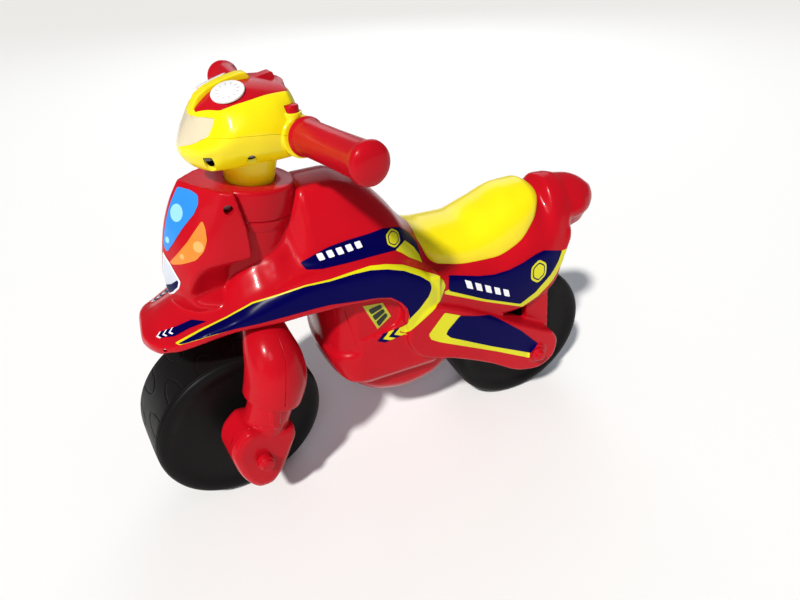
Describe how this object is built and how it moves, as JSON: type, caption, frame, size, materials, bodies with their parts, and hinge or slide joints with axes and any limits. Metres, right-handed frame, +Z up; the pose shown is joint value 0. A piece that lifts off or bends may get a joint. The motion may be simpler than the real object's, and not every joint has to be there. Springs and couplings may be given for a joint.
{
  "type": "ride-on motorcycle",
  "caption": "Foot-to-floor toy motorcycle with a blow-moulded body, padded-look seat, steerable fork and electronic handlebar head, and free-rolling solid plastic wheels.",
  "frame": {"origin": "the rear tyre's flat contact with the floor, on the centre plane", "axes": "+X forward along the motorcycle, +Y to the rider's left, +Z up"},
  "size_m": [0.6687, 0.3895, 0.5317],
  "materials": {
    "red_plastic": "glossy moulded red plastic",
    "yellow_plastic": "glossy moulded yellow plastic",
    "wheel_plastic": "satin black blow-moulded plastic",
    "cap_plastic": "glossy red push-on cap",
    "axle_steel": "zinc-plated steel",
    "screw_steel": "dark plated steel",
    "spring_steel": "drawn spring wire",
    "dial_plastic": "white printed face under clear coat",
    "lens_plastic": "milky translucent plastic",
    "reflector_plastic": "white reflector moulding",
    "led_plastic": "clear epoxy",
    "tray_plastic": "black moulding",
    "cell_steel": "nickel-plated can",
    "board": "green solder mask",
    "speaker_plastic": "black frame and cone"
  },
  "bodies": {
    "frame": {"body_left": "red_plastic", "body_right": "red_plastic", "seat": "yellow_plastic", "cowl_screw": "screw_steel", "rear_axle": "axle_steel", "rear_axle_cap_left": "cap_plastic", "rear_axle_cap_right": "cap_plastic"},
    "rear_wheel": {"rear_wheel": "wheel_plastic"},
    "steering": {"fork": "red_plastic", "front_axle": "axle_steel", "front_axle_cap_left": "cap_plastic", "front_axle_cap_right": "cap_plastic", "head_upper_shell": "yellow_plastic", "head_lower_shell": "yellow_plastic", "headlight_lens": "lens_plastic", "reflector": "reflector_plastic", "led_left": "led_plastic", "led_right": "led_plastic", "battery_tray": "tray_plastic", "battery_cell_1": "cell_steel", "battery_cell_2": "cell_steel", "battery_cell_3": "cell_steel", "circuit_board": "board", "speaker": "speaker_plastic", "steering_bolt": "screw_steel", "head_screw_1": "screw_steel", "head_screw_2": "screw_steel", "head_screw_3": "screw_steel", "head_screw_4": "screw_steel", "dash_panel": "red_plastic", "dial_left": "dial_plastic", "dial_right": "dial_plastic", "grip_left": "red_plastic", "grip_right": "red_plastic", "handlebar_tube": "axle_steel", "button_spring_left": "spring_steel", "button_spring_right": "spring_steel"},
    "front_wheel": {"front_wheel": "wheel_plastic"},
    "button_left": {"button_left": "red_plastic"},
    "button_right": {"button_right": "red_plastic"}
  },
  "joints": [
    {"name": "steering", "type": "hinge", "parent": "frame", "child": "steering", "pos_m": [0.3966, 0, 0.1104], "axis": [-0.1478, 0, 0.989], "range_deg": [-29.4, 10.6]},
    {"name": "front_wheel_spin", "type": "hinge", "parent": "steering", "child": "front_wheel", "pos_m": [0.43055, 0.00556, 0.11043], "axis": [-0.1615, 0.9866, -0.0241], "continuous": true},
    {"name": "rear_wheel_spin", "type": "hinge", "parent": "frame", "child": "rear_wheel", "pos_m": [0, 0, 0.11], "axis": [0, 1, 0], "continuous": true},
    {"name": "press_left", "type": "slide", "parent": "steering", "child": "button_left", "axis": [0.002, -0.0241, -0.9997], "range_m": [0, 0.002], "stiffness_N_per_m": 400, "springref_m": -0.001, "deforming": ["button_spring_left"]},
    {"name": "press_right", "type": "slide", "parent": "steering", "child": "button_right", "axis": [0.002, -0.0241, -0.9997], "range_m": [0, 0.002], "stiffness_N_per_m": 400, "springref_m": -0.001, "deforming": ["button_spring_right"]}
  ]
}
